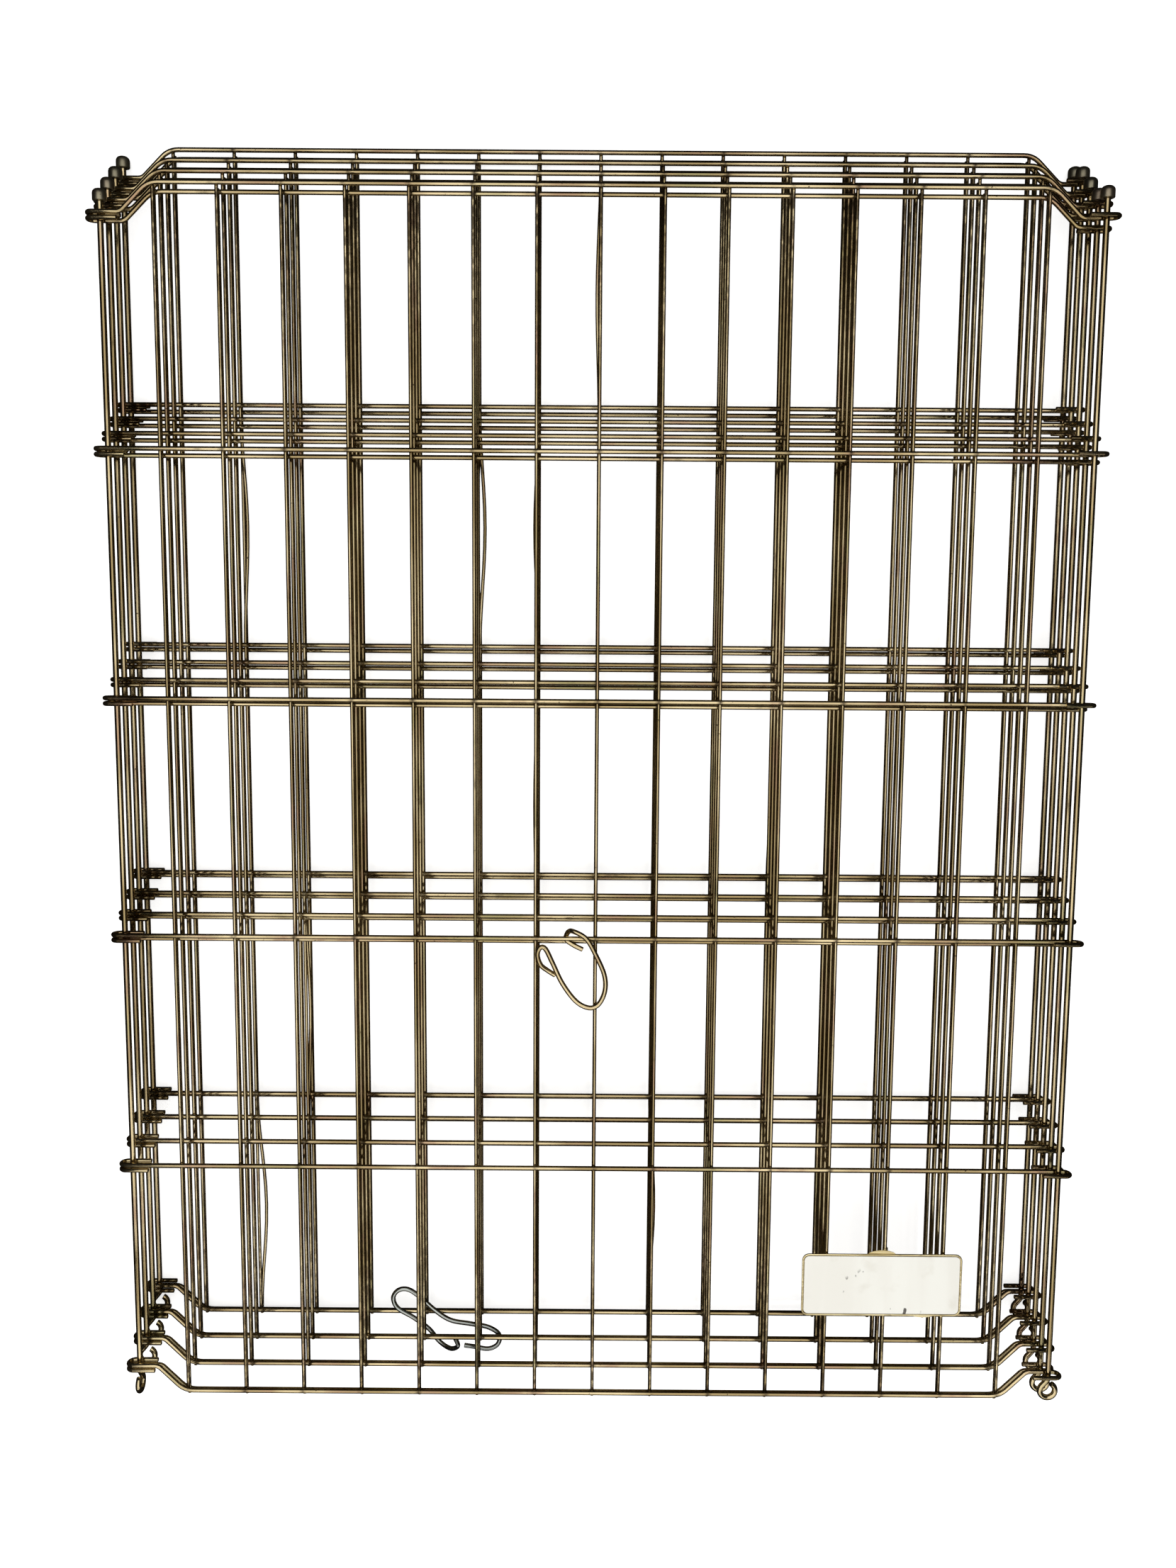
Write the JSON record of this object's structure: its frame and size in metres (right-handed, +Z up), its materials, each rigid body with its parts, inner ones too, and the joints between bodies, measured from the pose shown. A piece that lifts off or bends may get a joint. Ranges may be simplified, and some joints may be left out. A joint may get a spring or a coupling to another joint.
{
  "type": "folding kennel pen",
  "caption": "Folding wire kennel pen, folded flat: welded wire panels hinged on capped rods with ring eyes, with closing clips and a blank label plate.",
  "frame": {"origin": "middle of the folded pen, on the surface that it lies on", "axes": "+Y towards the top of the panels, +Z up out of the stack towards the first panel, +X to the right seen from above"},
  "size_m": [0.6155, 0.8006, 0.0707],
  "materials": {
    "panel_wire": "yellow-chromate zinc plate on bright steel wire, olive gold with a bright highlight",
    "rod_wire": "yellow-chromate zinc plate",
    "rod_cap": "darker grey-brown zinc plate, satin",
    "clip_gold": "yellow-chromate zinc plate on spring wire",
    "clip_bright": "bright zinc plate on spring wire",
    "label_metal": "thin brass-coloured sheet",
    "label_card": "plain off-white printed card, left blank"
  },
  "bodies": {
    "panel_8": {"panel_8": "panel_wire"},
    "rod_left_4": {"rod_left_4": "rod_wire", "rod_cap_left_4": "rod_cap"},
    "panel_7": {"panel_7": "panel_wire"},
    "rod_right_4": {"rod_right_4": "rod_wire", "rod_cap_right_4": "rod_cap"},
    "panel_6": {"panel_6": "panel_wire"},
    "rod_left_3": {"rod_left_3": "rod_wire", "rod_cap_left_3": "rod_cap"},
    "panel_5": {"panel_5": "panel_wire"},
    "rod_right_3": {"rod_right_3": "rod_wire", "rod_cap_right_3": "rod_cap"},
    "panel_4": {"panel_4": "panel_wire"},
    "rod_left_2": {"rod_left_2": "rod_wire", "rod_cap_left_2": "rod_cap"},
    "panel_3": {"panel_3": "panel_wire"},
    "rod_right_2": {"rod_right_2": "rod_wire", "rod_cap_right_2": "rod_cap"},
    "panel_2": {"panel_2": "panel_wire"},
    "rod_left_1": {"rod_left_1": "rod_wire", "rod_cap_left_1": "rod_cap"},
    "panel_1": {"panel_1": "panel_wire", "label_plate": "label_metal", "label_card": "label_card", "label_tab_upper": "label_metal", "label_tab_lower": "label_metal"},
    "rod_right_1": {"rod_right_1": "rod_wire", "rod_cap_right_1": "rod_cap"},
    "rod_right_5": {"rod_right_5": "rod_wire", "rod_cap_right_5": "rod_cap"},
    "closing_clip": {"closing_clip": "clip_gold"},
    "spare_clip": {"spare_clip": "clip_bright"}
  },
  "joints": [
    {"name": "turn_rod_left_4", "type": "hinge", "parent": "panel_8", "child": "rod_left_4", "pos_m": [-0.29834, -0.0145, 0.00529], "axis": [0, 1, 0], "continuous": true},
    {"name": "fold_7_8", "type": "hinge", "parent": "panel_8", "child": "panel_7", "pos_m": [-0.29834, -0.0145, 0.00529], "axis": [0, -1, 0], "range_deg": [0, 134]},
    {"name": "slide_rod_right_4", "type": "slide", "parent": "panel_7", "child": "rod_right_4", "axis": [0, 1, 0], "range_m": [0, 0.0108]},
    {"name": "fold_6_7", "type": "hinge", "parent": "rod_right_4", "child": "panel_6", "pos_m": [0.29882, -0.0145, 0.02039], "axis": [0, 1, 0], "range_deg": [0, 223.4]},
    {"name": "turn_rod_left_3", "type": "hinge", "parent": "panel_6", "child": "rod_left_3", "pos_m": [-0.29853, -0.0145, 0.02029], "axis": [0, 1, 0], "continuous": true},
    {"name": "fold_5_6", "type": "hinge", "parent": "panel_6", "child": "panel_5", "pos_m": [-0.29853, -0.0145, 0.02029], "axis": [0, -1, 0], "range_deg": [0, 134]},
    {"name": "slide_rod_right_3", "type": "slide", "parent": "panel_5", "child": "rod_right_3", "axis": [0, 1, 0], "range_m": [0, 0.0108]},
    {"name": "fold_4_5", "type": "hinge", "parent": "rod_right_3", "child": "panel_4", "pos_m": [0.29863, -0.0145, 0.03539], "axis": [0, 1, 0], "range_deg": [0, 223.4]},
    {"name": "turn_rod_left_2", "type": "hinge", "parent": "panel_4", "child": "rod_left_2", "pos_m": [-0.29872, -0.0145, 0.03529], "axis": [0, 1, 0], "continuous": true},
    {"name": "fold_3_4", "type": "hinge", "parent": "panel_4", "child": "panel_3", "pos_m": [-0.29872, -0.0145, 0.03529], "axis": [0, -1, 0], "range_deg": [0, 134]},
    {"name": "slide_rod_right_2", "type": "slide", "parent": "panel_3", "child": "rod_right_2", "axis": [0, 1, 0], "range_m": [0, 0.0108]},
    {"name": "fold_2_3", "type": "hinge", "parent": "rod_right_2", "child": "panel_2", "pos_m": [0.29844, -0.0145, 0.05039], "axis": [0, 1, 0], "range_deg": [0, 223.4]},
    {"name": "turn_rod_left_1", "type": "hinge", "parent": "panel_2", "child": "rod_left_1", "pos_m": [-0.29891, -0.0145, 0.05029], "axis": [0, 1, 0], "continuous": true},
    {"name": "fold_1_2", "type": "hinge", "parent": "panel_2", "child": "panel_1", "pos_m": [-0.29891, -0.0145, 0.05029], "axis": [0, -1, 0], "range_deg": [0, 134]},
    {"name": "slide_rod_right_1", "type": "slide", "parent": "panel_1", "child": "rod_right_1", "axis": [0, 1, 0], "range_m": [-0.0083, 0]},
    {"name": "slide_rod_right_5", "type": "slide", "parent": "panel_8", "child": "rod_right_5", "axis": [0, 1, 0], "range_m": [-0.0083, 0.0041]},
    {"name": "swing_closing_clip", "type": "hinge", "parent": "panel_1", "child": "closing_clip", "pos_m": [-0.00033, -0.0895, 0.05784], "axis": [-0.9999, 0, -0.0127], "range_deg": [0, 110]},
    {"name": "slide_spare_clip", "type": "slide", "parent": "panel_6", "child": "spare_clip", "axis": [0.9999, 0, 0.0127], "range_m": [-0.004, 0.004]}
  ],
  "couplings": [
    {"joint": "fold_6_7", "follows": "fold_7_8", "ratio": 1.6667},
    {"joint": "fold_5_6", "follows": "fold_7_8", "ratio": 1},
    {"joint": "fold_4_5", "follows": "fold_7_8", "ratio": 1.6667},
    {"joint": "fold_3_4", "follows": "fold_7_8", "ratio": 1},
    {"joint": "fold_2_3", "follows": "fold_7_8", "ratio": 1.6667},
    {"joint": "fold_1_2", "follows": "fold_7_8", "ratio": 1}
  ]
}
